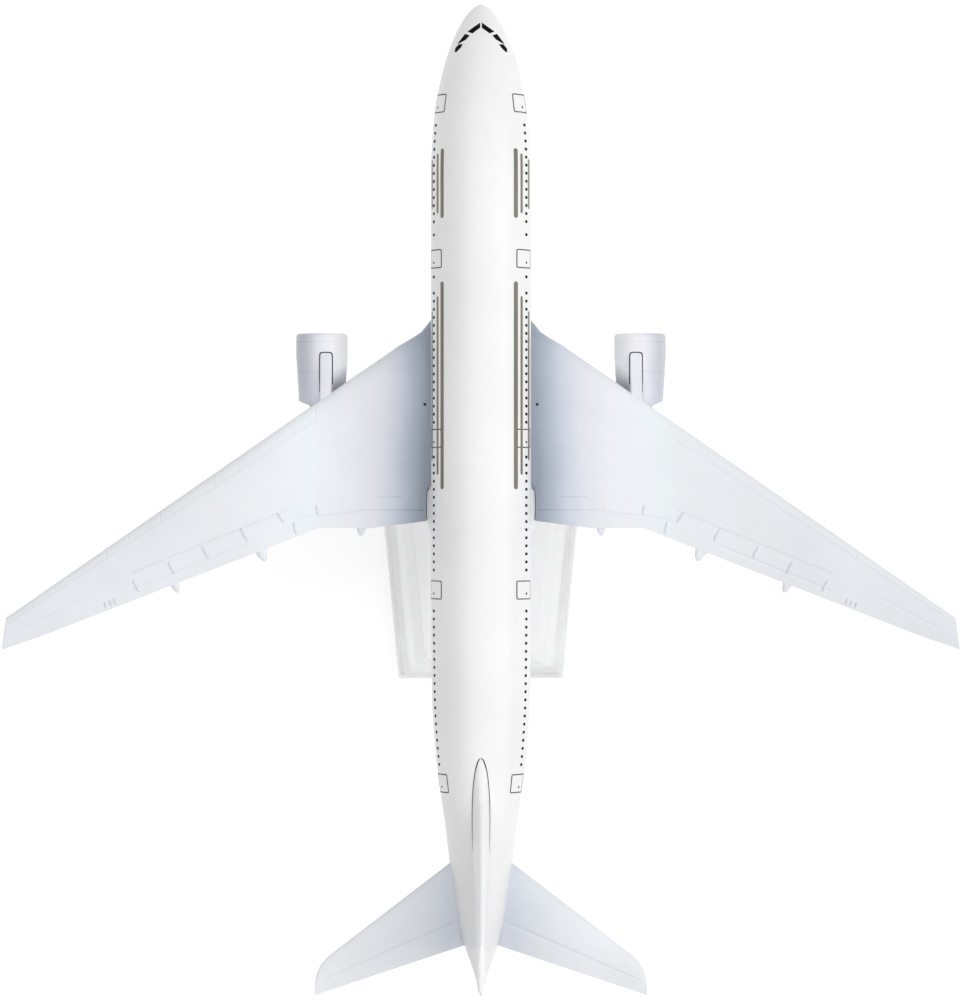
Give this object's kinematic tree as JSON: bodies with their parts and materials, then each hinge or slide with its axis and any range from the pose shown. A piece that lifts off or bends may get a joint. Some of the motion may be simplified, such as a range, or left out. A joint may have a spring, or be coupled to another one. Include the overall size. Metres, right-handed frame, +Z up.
{
  "type": "desktop airliner model",
  "caption": "Desk model of a twin-engine wide-body airliner, wheels up, that turns on and lifts off a pin on a tapered clear plastic stand; its engine fans spin.",
  "frame": {"origin": "centre of the stand's footprint box on the table, under the middle of the fuselage", "axes": "+Y along the fuselage from nose to tail, +X to the aircraft's left wing tip, +Z up"},
  "size_m": [0.1546, 0.16, 0.0926],
  "materials": {
    "white_paint": "gloss white enamel over a cast metal body",
    "wing_paint": "satin light blue-grey paint",
    "cowl_paint": "satin pale grey paint",
    "core_paint": "satin metallic grey paint",
    "fan_paint": "dark grey moulded plastic with a pale spinner",
    "window_paint": "printed black and dark grey markings: panes, windows and door outlines",
    "stripe_paint": "printed warm grey livery bars",
    "steel": "bright zinc-plated steel",
    "clear_plastic": "clear moulded acrylic"
  },
  "bodies": {
    "stand": {"stand_base": "clear_plastic", "stand_arm": "clear_plastic", "arm_screw": "steel"},
    "pivot": {"pivot_pin": "steel", "pivot_washer": "clear_plastic"},
    "aircraft": {"fuselage_upper_shell": "white_paint", "fuselage_lower_shell": "white_paint", "belly_fairing": "white_paint", "fin": "white_paint", "wing_left": "wing_paint", "wing_right": "wing_paint", "tailplane_left": "wing_paint", "tailplane_right": "wing_paint", "engine_cowl_left": "cowl_paint", "engine_cowl_right": "cowl_paint", "pylon_left": "cowl_paint", "pylon_right": "cowl_paint", "engine_core_left": "core_paint", "engine_core_right": "core_paint", "stand_socket": "steel", "fuselage_screw_front": "steel", "fuselage_screw_rear": "steel", "belly_screw_front": "steel", "belly_screw_rear": "steel", "wing_screw_left": "steel", "wing_screw_right": "steel", "wing_pin_left": "steel", "wing_pin_right": "steel", "fan_shaft_left": "steel", "fan_shaft_right": "steel"},
    "fan_left": {"fan_left": "fan_paint"},
    "fan_right": {"fan_right": "fan_paint"}
  },
  "joints": [
    {"name": "swivel", "type": "hinge", "parent": "stand", "child": "pivot", "pos_m": [0, 0, 0.048], "axis": [0, 0, 1], "continuous": true},
    {"name": "lift_off", "type": "slide", "parent": "pivot", "child": "aircraft", "axis": [0, 0, 1], "range_m": [0, 0.03]},
    {"name": "fan_left_spin", "type": "hinge", "parent": "aircraft", "child": "fan_left", "pos_m": [0.02596, -0.0236, 0.053], "axis": [0, 1, 0], "continuous": true},
    {"name": "fan_right_spin", "type": "hinge", "parent": "aircraft", "child": "fan_right", "pos_m": [-0.02596, -0.0236, 0.053], "axis": [0, 1, 0], "continuous": true}
  ]
}
